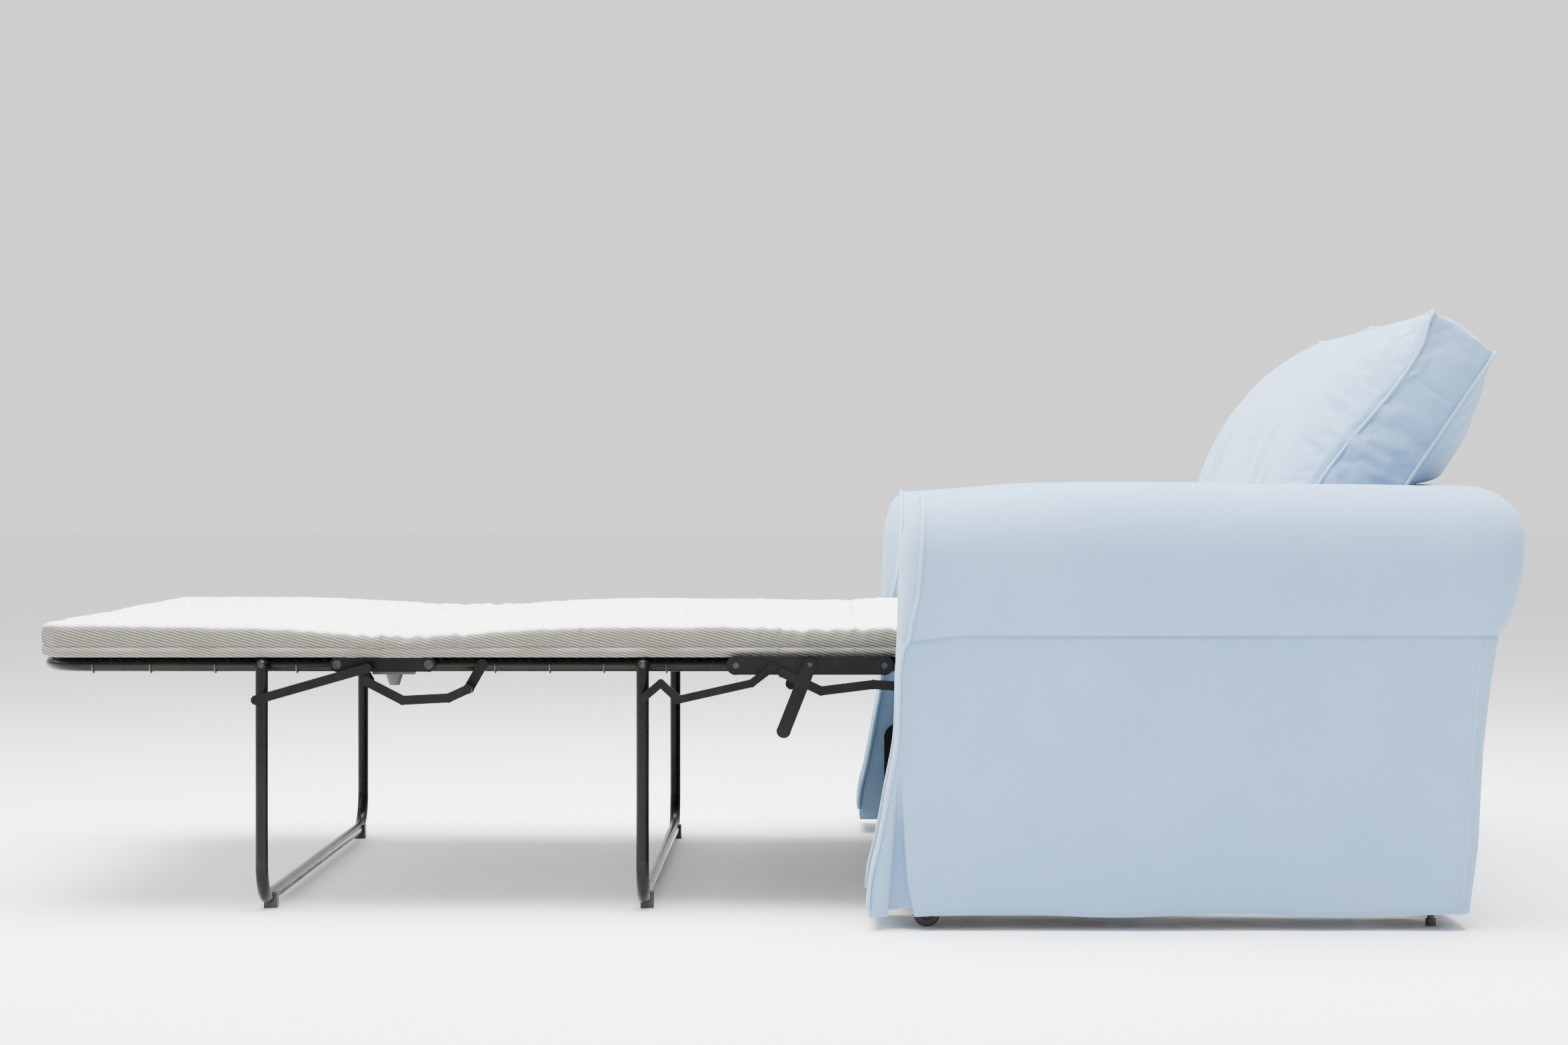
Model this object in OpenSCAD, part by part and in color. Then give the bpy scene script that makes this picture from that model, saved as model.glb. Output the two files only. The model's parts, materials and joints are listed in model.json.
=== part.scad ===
/* [Sofa] */
// Depth from the foot of the opened bed to the back of the sofa
open_depth = 2505; // [2505:1:2525]
// Width between the inner faces of the arms
seat_w = 1444; // [1444:1:1460]
// Thickness of one arm below its roll
arm_w = 208; // [200:1:216]
// Height of the arm roll's top above the floor
arm_top = 730; // [726:1:736]
// Radius of the arm roll
roll_r = 119; // [116:1:122]
// Gap between the slipcover's hem and the floor
hem_gap = 26; // [22:1:30]

/* [Bed] */
// Height of the bed rails' centre line
rail_z = 424; // [423:0.5:425]
// Half the distance between the two bed rails' centres
rail_x = 650; // [649:0.5:650]
// Radius of the bed rail tube
rail_r = 12.5; // [12:0.1:12.5]
// Length of the foot section, from its end to its hinge
foot_len = 515.5; // [514:0.5:516]
// Distance between the outer hinge's two pivots
outer_len = 157; // [157:0.5:158]
// Length of the middle section between its pivots
middle_len = 527; // [526:0.5:528]
// Distance between the inner hinge's two pivots
inner_len = 253.5; // [253.5:0.5:254]
// Thickness of the mattress
mattress_t = 62; // [58:1:62]
// Half the width of the mattress
mattress_half = 690; // [680:1:690]

/* [Legs] */
// Length of a leg frame from its pivot to its bottom bar
leg_len = 404; // [403:0.5:404]
// Radius of the leg tube
leg_r = 11; // [10.5:0.1:11]
// Radius of the bends of the leg frame
leg_bend = 70; // [60:1:72]

/* [Cushions] */
// Height of a back cushion along its face
cushion_h = 505; // [480:1:510]
// Thickness of a back cushion's boxing
cushion_t = 125; // [110:1:125]
// Lean of the back cushions from the vertical, in degrees
cushion_lean = 33.8; // [33:0.1:34]

/* [Hidden] */
$fn = 48;

// Pivot places along the bed, from the foot towards the sofa
tip_y = -open_depth / 2;
a1_y = tip_y + foot_len;
b1_y = a1_y + outer_len;
a2_y = b1_y + middle_len;
b2_y = a2_y + inner_len;
head_y = b2_y + 564.5;
back_y = open_depth / 2;

// Layers across the bed, from the rails outwards
plate_x = 664;
leg_x = 681;
lane_a = 693.5;
lane_b = 698.5;
lane_c = 703;
lane_d = 706.5;
side_x = 717;
inner_x = seat_w / 2;
outer_x = inner_x + arm_w;
link_t = 4;

// Leg pivots and link points, measured from their own pivots as [y, z]
front_leg_y = a1_y - 127;
middle_leg_y = a2_y - 159.7;
front_strut_leg = [front_leg_y - 8, rail_z - 59];
front_strut_hinge = [a1_y + 54, rail_z - 5];
middle_strut_leg = [middle_leg_y, rail_z - 57];
middle_strut_hinge = [a2_y + 63.9, rail_z - 1.8];
outer_link_plate = [b1_y - 102.6, rail_z - 27];
outer_link_rail = [b1_y + 69, rail_z - 40.4];
inner_link_plate = [b2_y - 174, rail_z - 12];
inner_link_rail = [b2_y + 41.4, rail_z - 36.2];
lever_pin = [b2_y - 127.1, rail_z + 2];
lever_tip = lever_pin + [-44.6, -113];

// Rockers that carry the head section
rocker_run = 80;
rocker_rise = 226;
front_rocker_y = b2_y + 133;
rear_rocker_y = b2_y + 459.5;
rocker_z = rail_z - rocker_rise;

// Corner bends of the foot end tube
foot_bend = 70;
foot_bend_y = tip_y + rail_r + foot_bend;

// Feet
foot_x = 854;
caster_y = 268;
caster_r = 22;
glide_y = 1106;

// Mattress
mattress_z = rail_z + rail_r + 0.5;
fold_gap = 13.4;
mattress_foot_y = tip_y + 4.5;
mattress_head_y = head_y + 10;
head_fold_y = b2_y - 16;
seam_gap = 0.6;

// Sofa padding and timber
pad_t = 28;
back_inner_y = 1062;
back_top_r = 60;
arm_rear_y = 1163;

// Lowest rear edge of a back cushion, where it stands on the shelf
cushion_up = [sin(cushion_lean), cos(cushion_lean)];
cushion_out = [-cos(cushion_lean), sin(cushion_lean)];
cushion_top_rear = [back_y - 11.5, 959];
cushion_foot = cushion_top_rear - cushion_h * cushion_up;
cushion_half_w = 356.5;
cushion_crown = 82;
rear_crown = 50;
shelf_z = cushion_foot[1] - 1;

steel = [0.13, 0.13, 0.12];
zinc = [0.62, 0.63, 0.62];
cloth = [0.66, 0.74, 0.82];
timber = [0.76, 0.62, 0.42];
ticking = [0.9, 0.89, 0.85];
rubber = [0.07, 0.07, 0.07];

// Draws its children on the right and their mirror image on the left
module both() {
    children();
    mirror([1, 0, 0]) children();
}

// Extrudes a [y, z] outline along X from x0
module slab(x0, t) {
    translate([x0, 0, 0]) rotate([90, 0, 90]) linear_extrude(t) children();
}

// A round pin along X
module pin(at, r, x0, x1) {
    translate([x0, at[0], at[1]]) rotate([0, 90, 0]) cylinder(r = r, h = x1 - x0);
}

// A tube along Y
module tube_y(x, z, y0, y1, r) {
    translate([x, y0, z]) rotate([-90, 0, 0]) cylinder(r = r, h = y1 - y0);
}

// A tube along X, centred on the sofa
module tube_x(y, z, half, r) {
    translate([-half, y, z]) rotate([0, 90, 0]) cylinder(r = r, h = 2 * half);
}

// A bar of width w that follows points given as [y, z], with a slightly wider eye at each
module bar(points, w) {
    for (p = points) translate(p) circle(d = w + 1);
    for (i = [1:len(points) - 1]) {
        run = points[i] - points[i - 1];
        translate(points[i - 1]) rotate(atan2(run[1], run[0])) translate([0, -w / 2]) square([norm(run), w]);
    }
}

// A flat steel link with a hole at each of the given points
module link(points, w, x0, holes, hole_r, t = link_t) {
    slab(x0, t) difference() {
        bar(points, w);
        for (h = holes) translate(h) circle(r = hole_r);
    }
}

// A box given by its low and high corners
module block(low, high) {
    translate(low) cube(high - low);
}

// ---- Sofa: timber, padding and cover ----

module base_front_rail() {
    color(timber) block([-inner_x - 100, 226, 38], [inner_x + 100, 262, 74]);
}

module base_rear_rail() {
    color(timber) block([-inner_x - 100, 1100, 62], [inner_x + 100, 1136, 100]);
}

module base_side_rails() {
    color(timber) both() difference() {
        block([foot_x - 22, 228, 62], [foot_x + 22, 1140, 100]);
        block([foot_x - 60, 225.5, 30], [foot_x + 60, 262.5, 74.5]);
        block([foot_x - 60, 1099.5, 61], [foot_x + 60, 1141, 101]);
    }
}

// Side board with posts behind it and a rail that carries the roll
module arm_frame() {
    difference() {
        union() {
            block([inner_x, 262.6, 62], [inner_x + 18, 1050, 298]);
            for (y = [280, 640, 1000]) block([inner_x + 18, y, 62], [inner_x + 58, y + 45, 600]);
            block([inner_x + 18, 280, 600], [inner_x + 98, 1045, 640]);
        }
        for (y = [front_rocker_y - rocker_run, rear_rocker_y - rocker_run], dz = [-40, 30])
            pin([y + 45, rocker_z + dz], 3.2, inner_x - 1, inner_x + 30);
    }
}

module arm_frame_left() { color(timber) mirror([1, 0, 0]) arm_frame(); }
module arm_frame_right() { color(timber) arm_frame(); }

module back_frame() {
    color(timber) {
        for (x = [-640, -22, 596]) block([x, 1120, 100.5], [x + 44, 1160, 640]);
        block([-690, 1120, 640], [690, 1160, 680]);
        block([-690, 1120, 300], [-640.2, 1160, 340]);
        block([640.2, 1120, 300], [690, 1160, 340]);
    }
}

module back_webbing() {
    color(zinc) for (z = [180:90:560], s = [-1, 1])
        block([s < 0 ? -595 : 23, 1117, z], [s < 0 ? -23 : 595, 1119.5, z + 50]);
}

module cushion_shelf() {
    color(cloth) difference() {
        block([-inner_x + 0.5, cushion_foot[0] - 28, shelf_z - 16], [inner_x - 0.5, back_inner_y - 1, shelf_z]);
        for (s = [-1, 1]) translate([s * 240, 1010, shelf_z - 17]) cylinder(r = 12, h = 20);
    }
}

// Cross-section of an arm: a straight panel with a roll on top
module arm_section() {
    roll_c = [inner_x + roll_r, arm_top - roll_r];
    translate(roll_c) circle(r = roll_r);
    translate([inner_x, hem_gap]) square([arm_w, roll_c[1] - hem_gap]);
}

// The arm's front edge leans out towards the hem
module arm_cover() {
    difference() {
        intersection() {
            translate([0, arm_rear_y, 0]) rotate([90, 0, 0]) linear_extrude(arm_rear_y - 170) arm_section();
            slab(inner_x - 5, 2 * roll_r + 10) polygon([[174, hem_gap], [190, 140], [211, 244], [219, 320],
                [225, 426], [233, 484], [250, 570], [262, 690], [266, arm_top + 1], [arm_rear_y, arm_top + 1],
                [arm_rear_y, hem_gap]]);
        }
        // Hollow for the frame, open below
        translate([0, arm_rear_y - pad_t, 0]) rotate([90, 0, 0]) linear_extrude(arm_rear_y - pad_t - 278)
            translate([inner_x + pad_t - 11, hem_gap - 1]) square([arm_w - 2 * pad_t + 11, 620]);
        block([foot_x - 24, 222, hem_gap - 1], [foot_x + 24, 1142, 101]);
        block([inner_x - 1, 224, hem_gap - 1], [outer_x - pad_t, 1142, 104]);
        // Opening for the side board that the mechanism bolts to
        block([inner_x - 1, 262, hem_gap - 1], [inner_x + 40, 1051, 298.6]);
        block([inner_x + 17.5, 262, hem_gap - 1], [inner_x + 70, 1051, 600]);
    }
}

module arm_cover_left() { color(cloth) mirror([1, 0, 0]) arm_cover(); }
module arm_cover_right() { color(cloth) arm_cover(); }

// Outline of the padded back: leaning inner face, rounded top, outer face drawn in to the hem
module back_outline() {
    top_r = 82;
    translate([back_inner_y + back_top_r, arm_top + 1 - back_top_r]) circle(r = back_top_r);
    translate([back_y - top_r, arm_top + 1 - top_r]) circle(r = top_r);
    polygon([[back_inner_y + back_top_r, arm_top + 1], [back_y - top_r, arm_top + 1], [back_y, arm_top + 1 - top_r],
        [back_y - 2, 605], [back_y - 12, 545], [back_y - 45, 470], [back_y - 67, 300], [back_y - 76, 150],
        [back_y - 92, hem_gap], [back_inner_y, hem_gap], [back_inner_y, arm_top + 1 - back_top_r]]);
}

module back_cover() {
    color(cloth) difference() {
        union() {
            slab(-inner_x + 0.3, seat_w - 0.6) back_outline();
            intersection() {
                slab(-outer_x, 2 * outer_x) back_outline();
                block([-outer_x, arm_rear_y + 0.3, 0], [outer_x, back_y + 1, 800]);
            }
        }
        block([-693, 1092, hem_gap - 1], [693, 1161.5, 690]);
        block([-outer_x + pad_t, 1092, hem_gap - 1], [outer_x - pad_t, 1145, 101]);
    }
}

// ---- Feet ----

module caster_brackets() {
    color(steel) both() {
        block([foot_x - 20, caster_y - 20, 58.5], [foot_x + 20, caster_y + 20, 61.9]);
        for (s = [-1, 1]) slab(foot_x + s * 15 - 1.5, 3) difference() {
            union() {
                bar([[caster_y, 22], [caster_y, 50]], 22);
                translate([caster_y - 11, 46]) square([22, 12.6]);
            }
            translate([caster_y, caster_r]) circle(r = 4.05);
        }
    }
}

module caster_axles() {
    color(zinc) both() {
        pin([caster_y, caster_r], 4, foot_x - 19, foot_x + 19);
        for (s = [-1, 1]) pin([caster_y, caster_r], 6.5, foot_x + s * 18 - 1.3, foot_x + s * 18 + 1.3);
    }
}

module caster_wheel(side) {
    color(rubber) translate([side * foot_x, caster_y, caster_r]) rotate([0, 90, 0]) rotate_extrude()
        polygon([[4.06, -12], [14, -12], [14, -10], [20, -11], [caster_r, -8], [caster_r, 8], [20, 11], [14, 10],
            [14, 12], [4.06, 12]]);
}

module caster_wheel_left() { caster_wheel(-1); }
module caster_wheel_right() { caster_wheel(1); }

module rear_glides() {
    color(rubber) both() translate([foot_x, glide_y, 0]) {
        cylinder(r = 9, h = 12);
        cylinder(r = 6, h = 61.9);
    }
}

// ---- Mechanism fixed to the sofa ----

module mechanism_side_plates() {
    front = front_rocker_y - rocker_run;
    rear = rear_rocker_y - rocker_run;
    color(steel) both() slab(side_x, inner_x - side_x) difference() {
        union() {
            bar([[front, rocker_z], [rear, rocker_z]], 60);
            translate([front - 30, 96]) square([rear - front + 60, rocker_z - 96]);
            for (y = [front + 45, rear + 45]) bar([[y, rocker_z - 45], [y, rocker_z + 32]], 40);
            bar([[300, 84], [rear, 84]], 46);
        }
        for (y = [front, rear]) translate([y, rocker_z]) circle(r = 8.05);
        for (y = [front + 45, rear + 45], dz = [-40, 30]) translate([y, rocker_z + dz]) circle(r = 3.3);
        for (y = [front + 100:70:rear - 70]) translate([y, rocker_z - 20]) circle(r = 22);
    }
}

module mechanism_stretchers() {
    color(steel) for (y = [330, 560]) tube_x(y, 80, side_x - 0.1, 11);
}

// Studs that the rockers swing on, and the screws that hold the side plates
module rocker_studs() {
    color(zinc) both() for (y = [front_rocker_y - rocker_run, rear_rocker_y - rocker_run]) {
        pin([y, rocker_z], 8, lane_d, inner_x - 0.1);
        pin([y, rocker_z], 13, lane_d + link_t + 0.2, side_x - 0.1);
        for (dz = [-40, 30]) {
            pin([y + 45, rocker_z + dz], 3, side_x, inner_x + 28);
            pin([y + 45, rocker_z + dz], 6, side_x - 3, side_x - 0.05);
        }
    }
}

// ---- Rockers ----

module rocker(y) {
    top = [y, rail_z];
    foot = [y - rocker_run, rocker_z];
    link([foot, [y - 52, rocker_z + 120], top], 32, lane_d, [foot, top], 8.06);
}

module front_rockers() { color(steel) both() rocker(front_rocker_y); }
module rear_rockers() { color(steel) both() rocker(rear_rocker_y); }

// ---- Rails, cross tubes, decks and hooks shared by the bed sections ----

module rails(y0, y1, holes) {
    both() difference() {
        tube_y(rail_x, rail_z, y0, y1, rail_r);
        for (y = holes) pin([y, rail_z], 5.05, rail_x - 20, rail_x + 20);
    }
}

module cross_tube(y) {
    difference() {
        tube_x(y, rail_z, rail_x - 8, 9);
        both() tube_y(rail_x, rail_z, y - 12, y + 12, rail_r + 0.05);
    }
}

module deck(y0, y1) {
    difference() {
        block([-600, y0, rail_z + 1], [600, y1, rail_z + 3]);
        for (x = [-580:40:580]) translate([x, y0 + 12, rail_z]) cylinder(r = 4, h = 4);
        for (x = [-580:40:580]) translate([x, y1 - 12, rail_z]) cylinder(r = 4, h = 4);
    }
}

// Wire hooks from the deck's side edges round the underside of the rails
module deck_hooks(ys) {
    both() for (y = ys) {
        translate([600.2, y, rail_z]) rotate([0, 90, 0]) cylinder(r = 1.6, h = rail_x - rail_r - 600.4);
        translate([rail_x, y, rail_z]) rotate([90, 0, 0]) rotate_extrude(angle = 180, start = 180)
            translate([rail_r + 1.9, 0]) circle(r = 1.6);
    }
}

module mattress(y0, y1) {
    block([-mattress_half, y0, mattress_z], [mattress_half, y1, mattress_z + mattress_t]);
}

// ---- Head section ----

module head_rails() {
    color(steel) rails(b2_y - rail_r, head_y, [b2_y, front_rocker_y, rear_rocker_y]);
}

module head_cross_tubes() {
    color(steel) for (y = [b2_y + 24, head_y - 14]) cross_tube(y);
}

module head_deck() { color(ticking) deck(b2_y + 40, head_y - 30); }
module head_deck_hooks() { color(zinc) deck_hooks([b2_y + 75, b2_y + 190, b2_y + 300, b2_y + 410, b2_y + 520]); }

module head_rocker_pins() {
    color(zinc) both() for (y = [front_rocker_y, rear_rocker_y]) {
        pin([y, rail_z], 5, rail_x - rail_r - 2, lane_d - 6);
        pin([y, rail_z], 8, lane_d - 6, lane_d + link_t);
        pin([y, rail_z], 11, rail_x + rail_r + 0.6, lane_d - 0.3);
    }
}

// Ears under the head rails that hold the inner links
module inner_link_brackets() {
    color(steel) both() {
        slab(plate_x, link_t) bar([[b2_y + 62, rail_z + 1], inner_link_rail], 22);
        pin(inner_link_rail, 6, plate_x + 2, lane_b + link_t + 1);
        pin([b2_y + 62, rail_z], 5, rail_x + rail_r, plate_x + 1);
    }
}

module mattress_head() { color(ticking) mattress(head_fold_y, mattress_head_y); }

// ---- Inner hinge ----

module inner_hinge_plates() {
    color(steel) both() link([[a2_y, rail_z], [b2_y, rail_z]], 32, lane_a,
        [[a2_y, rail_z], [b2_y, rail_z], lever_pin], 5.06);
}

module inner_hinge_pins() {
    color(zinc) both() for (y = [a2_y, b2_y]) {
        pin([y, rail_z], 5, rail_x - rail_r - 1, lane_a + link_t + 0.4);
        pin([y, rail_z], 9, rail_x + rail_r + 0.6, lane_a - 0.1);
    }
    // Stepped pins for the release levers
    color(zinc) both() {
        pin(lever_pin, 5, lane_a - 0.5, lane_c - 0.1);
        pin(lever_pin, 4, lane_c - 0.2, lane_c + 2.4);
    }
}

module mattress_inner_fold() { color(ticking) mattress(a2_y - fold_gap + seam_gap, head_fold_y - seam_gap); }

module release_levers() {
    color(steel) both() link([lever_pin, lever_tip], 24, lane_c, [lever_pin], 4.06, 2.5);
}

module inner_links() {
    color(steel) both() link([inner_link_plate, [inner_link_plate[0] + 66, rail_z - 43],
        [inner_link_plate[0] + 155, rail_z - 32], inner_link_rail], 16, lane_b, [inner_link_rail], 6.06);
}

// ---- Middle section ----

module middle_rails() {
    color(steel) rails(b1_y - rail_r, a2_y + rail_r, [b1_y, middle_leg_y, a2_y]);
}

module middle_cross_tubes() {
    color(steel) for (y = [b1_y + 24, a2_y - 24]) cross_tube(y);
}

module middle_deck() { color(ticking) deck(b1_y + 40, a2_y - 40); }
module middle_deck_hooks() { color(zinc) deck_hooks([b1_y + 113, b1_y + 207, b1_y + 300, a2_y - 120]); }

// Ears under the middle rails that hold the outer links
module outer_link_brackets() {
    color(steel) both() {
        slab(plate_x, link_t) bar([[b1_y + 92, rail_z], outer_link_rail], 18);
        pin(outer_link_rail, 5, plate_x + 2, lane_b + link_t + 1);
        pin([b1_y + 92, rail_z], 5, rail_x + rail_r, plate_x + link_t + 1.5);
    }
}

module mattress_middle() { color(ticking) mattress(b1_y + fold_gap, a2_y - fold_gap); }

// ---- Outer hinge ----

module outer_hinge_plates() {
    color(steel) both() {
        slab(plate_x, link_t) difference() {
            union() {
                bar([[a1_y, rail_z], [b1_y, rail_z]], 24.5);
                bar([[a1_y + 44, rail_z - 6], outer_link_plate], 18);
            }
            for (y = [a1_y, b1_y]) translate([y, rail_z]) circle(r = 5.06);
        }
        // Short posts that face the open ends of the strut and the link
        pin(front_strut_hinge, 5, plate_x + 2, lane_a - 0.8);
        pin(outer_link_plate, 4, plate_x + 2, lane_a - 0.8);
    }
}

module outer_hinge_pins() {
    color(zinc) both() for (y = [a1_y, b1_y]) {
        pin([y, rail_z], 5, rail_x - rail_r - 1, plate_x + link_t);
        pin([y, rail_z], 8, plate_x + link_t + 0.1, plate_x + link_t + 1.4);
    }
}

// Plastic stops that the foot section's deck rests on when it is folded
module outer_hinge_stops() {
    color(rubber) both() translate([rail_x - 4, a1_y + 96, rail_z - 36]) cylinder(r1 = 9, r2 = 15, h = 19);
    color(rubber) both() block([rail_x - 14, a1_y + 60, rail_z - 17], [plate_x - 0.2, a1_y + 132, rail_z - 12]);
}

module mattress_outer_fold() {
    color(ticking) mattress(a1_y - fold_gap + seam_gap, b1_y + fold_gap - seam_gap);
}

module outer_links() {
    color(steel) both() link([outer_link_plate, [outer_link_plate[0] + 62, rail_z - 59],
        [outer_link_plate[0] + 140, rail_z - 55], outer_link_rail], 16, lane_b, [outer_link_rail], 5.06);
}

// ---- Foot section ----

module foot_rails() {
    color(steel) rails(foot_bend_y + 0.05, a1_y + rail_r, [front_leg_y, a1_y]);
}

// End tube with a bend at each corner, butted to the rails
module foot_end_tube() {
    color(steel) {
        tube_x(tip_y + rail_r, rail_z, rail_x - foot_bend, rail_r);
        both() translate([rail_x - foot_bend, foot_bend_y, rail_z])
            rotate_extrude(angle = 90, start = -90) translate([foot_bend, 0]) circle(r = rail_r);
    }
}

module foot_cross_tube() { color(steel) cross_tube(a1_y - 24); }
module foot_deck() { color(ticking) deck(tip_y + 40, a1_y - 40); }
module foot_deck_hooks() { color(zinc) deck_hooks([tip_y + 95, tip_y + 194, tip_y + 305, tip_y + 445]); }
module mattress_foot() { color(ticking) mattress(mattress_foot_y, a1_y - fold_gap); }

// ---- Legs ----

// One bent tube: two legs, two bends and the bar between the pads
module leg_frame(y) {
    bar_z = rail_z - leg_len;
    difference() {
        union() {
            both() translate([leg_x, y, bar_z + leg_bend]) cylinder(r = leg_r, h = leg_len - leg_bend);
            both() translate([leg_x, y, rail_z]) sphere(r = leg_r);
            both() translate([leg_x - leg_bend, y, bar_z + leg_bend]) rotate([90, 0, 0])
                rotate_extrude(angle = 90, start = -90) translate([leg_bend, 0]) circle(r = leg_r);
            tube_x(y, bar_z, leg_x - leg_bend, leg_r);
        }
        both() pin([y, rail_z], 5.06, leg_x - 20, leg_x + 20);
    }
}

// Plastic blocks under the ends of the bottom bar, with a lip beside it
module leg_pads(y) {
    bar_z = rail_z - leg_len;
    both() difference() {
        union() {
            block([leg_x - leg_bend - 22, y - 7, 0], [leg_x - leg_bend + 2, y + 15.5, bar_z - 2]);
            block([leg_x - leg_bend - 22, y + 5, 0], [leg_x - leg_bend + 2, y + 15.5, bar_z + 8]);
        }
        tube_x(y, bar_z, leg_x, leg_r + 0.05);
    }
}

module front_leg_frame() { color(steel) leg_frame(front_leg_y); }
module front_leg_pads() { color(rubber) leg_pads(front_leg_y); }
module middle_leg_frame() { color(steel) leg_frame(middle_leg_y); }
module middle_leg_pads() { color(rubber) leg_pads(middle_leg_y); }

module front_leg_struts() {
    color(steel) both() link([front_strut_leg, front_strut_hinge], 16, lane_a, [], 0);
}

module middle_leg_struts() {
    color(steel) both() link([middle_strut_leg, [middle_leg_y + 32, rail_z - 30], [middle_leg_y + 62, rail_z - 58],
        [middle_strut_hinge[0] - 37, rail_z - 30], middle_strut_hinge], 14, lane_b, [], 0);
}

// Pivot pins through the rails and the legs, with a spacer between them
module leg_pins(y) {
    color(zinc) both() {
        pin([y, rail_z], 5, rail_x - rail_r - 1, leg_x + leg_r + 0.6);
        pin([y, rail_z], 7, rail_x + rail_r + 0.6, leg_x - leg_r - 0.2);
    }
}

module front_leg_pins() { leg_pins(front_leg_y); }
module middle_leg_pins() { leg_pins(middle_leg_y); }

// ---- Back cushions ----

// A boxed cushion standing on the XY plane's X axis: across, up its face and out from its rear
module cushion_solid() {
    w = cushion_half_w;
    c = cushion_half_w - 105;
    h = cushion_h;
    t = cushion_t;
    polyhedron([
        [-w, 0, 1], [w, 0, 1], [w, 0, t], [-w, 0, t],
        [-w, h, 0], [w, h, 0], [w, h, t], [-w, h, t],
        [-w, 262, 0], [w, 262, 0],
        [-c, 115, t + cushion_crown], [c, 115, t + cushion_crown],
        [c, h - 115, t + cushion_crown], [-c, h - 115, t + cushion_crown],
        [-c, 330, -rear_crown], [c, 330, -rear_crown], [c, h - 75, -rear_crown], [-c, h - 75, -rear_crown]
    ], [
        [0, 1, 2, 3], [4, 7, 6, 5], [1, 9, 5, 6, 2], [0, 3, 7, 4, 8], [0, 8, 9, 1],
        [3, 2, 11, 10], [2, 6, 12, 11], [6, 7, 13, 12], [7, 3, 10, 13], [10, 11, 12, 13],
        [9, 8, 14, 15], [5, 9, 15, 16], [4, 5, 16, 17], [8, 4, 17, 14], [17, 16, 15, 14]
    ]);
}

module back_cushion(side) {
    translate([side * (cushion_half_w + 1), cushion_foot[0], cushion_foot[1]])
        rotate([90 - cushion_lean, 0, 0]) cushion_solid();
}

module back_cushion_left() { color(cloth) back_cushion(-1); }
module back_cushion_right() { color(cloth) back_cushion(1); }

base_front_rail();
base_rear_rail();
base_side_rails();
arm_frame_left();
arm_frame_right();
back_frame();
back_webbing();
cushion_shelf();
arm_cover_left();
arm_cover_right();
back_cover();
mechanism_side_plates();
mechanism_stretchers();
rocker_studs();
caster_brackets();
caster_axles();
caster_wheel_left();
caster_wheel_right();
rear_glides();
front_rockers();
rear_rockers();
head_rails();
head_cross_tubes();
head_deck();
head_deck_hooks();
head_rocker_pins();
inner_link_brackets();
mattress_head();
inner_hinge_plates();
inner_hinge_pins();
mattress_inner_fold();
release_levers();
inner_links();
middle_rails();
middle_cross_tubes();
middle_deck();
middle_deck_hooks();
outer_link_brackets();
mattress_middle();
outer_hinge_plates();
outer_hinge_pins();
outer_hinge_stops();
mattress_outer_fold();
outer_links();
foot_rails();
foot_end_tube();
foot_cross_tube();
foot_deck();
foot_deck_hooks();
mattress_foot();
front_leg_frame();
front_leg_pads();
front_leg_struts();
middle_leg_frame();
middle_leg_pads();
middle_leg_struts();
front_leg_pins();
middle_leg_pins();
back_cushion_left();
back_cushion_right();
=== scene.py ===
import json
import math

import bmesh
import bpy
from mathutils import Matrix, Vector, kdtree, noise


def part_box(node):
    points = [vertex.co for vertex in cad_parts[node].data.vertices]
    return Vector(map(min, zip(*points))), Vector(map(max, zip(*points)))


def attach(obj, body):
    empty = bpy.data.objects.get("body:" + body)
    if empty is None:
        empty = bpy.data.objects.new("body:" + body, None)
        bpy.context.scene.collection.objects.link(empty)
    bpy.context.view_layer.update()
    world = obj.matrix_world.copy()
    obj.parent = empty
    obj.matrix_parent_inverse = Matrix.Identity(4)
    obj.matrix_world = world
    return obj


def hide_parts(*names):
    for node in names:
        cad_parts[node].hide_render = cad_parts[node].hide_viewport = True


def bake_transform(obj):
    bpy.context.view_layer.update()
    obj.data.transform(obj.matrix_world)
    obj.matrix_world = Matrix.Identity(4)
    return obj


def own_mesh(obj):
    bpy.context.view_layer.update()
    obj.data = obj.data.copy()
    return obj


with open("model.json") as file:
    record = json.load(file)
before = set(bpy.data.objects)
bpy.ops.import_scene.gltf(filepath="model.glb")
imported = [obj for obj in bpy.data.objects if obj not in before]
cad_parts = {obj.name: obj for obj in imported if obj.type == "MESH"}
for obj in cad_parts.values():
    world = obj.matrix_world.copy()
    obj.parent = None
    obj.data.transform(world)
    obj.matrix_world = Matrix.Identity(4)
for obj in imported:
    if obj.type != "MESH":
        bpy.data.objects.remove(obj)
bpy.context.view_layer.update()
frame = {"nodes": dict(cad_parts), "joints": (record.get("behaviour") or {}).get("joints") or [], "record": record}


# ---------------------------------------------------------------- the frame's own measures

def joint(name):
    return next(j for j in frame["joints"] if j["name"] == name)


def pivot(name):
    return Vector(joint(name)["pos_m"])


MATTRESS_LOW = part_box("mattress_foot")[0]
MATTRESS_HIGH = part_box("mattress_head")[1]
MATTRESS_HALF = MATTRESS_HIGH.x
MATTRESS_T = MATTRESS_HIGH.z - MATTRESS_LOW.z
FOOT_PIVOT = pivot("foot_fold").y
OUTER_PIVOT = pivot("outer_hinge_turn").y
INNER_PIVOT = pivot("fold").y
HEAD_PIVOT = pivot("inner_hinge_turn").y
ARM_LOW, ARM_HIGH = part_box("arm_cover_right")
BACK_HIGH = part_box("back_cover")[1]
SEAT_HALF = ARM_LOW.x


# ---------------------------------------------------------------- materials

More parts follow.
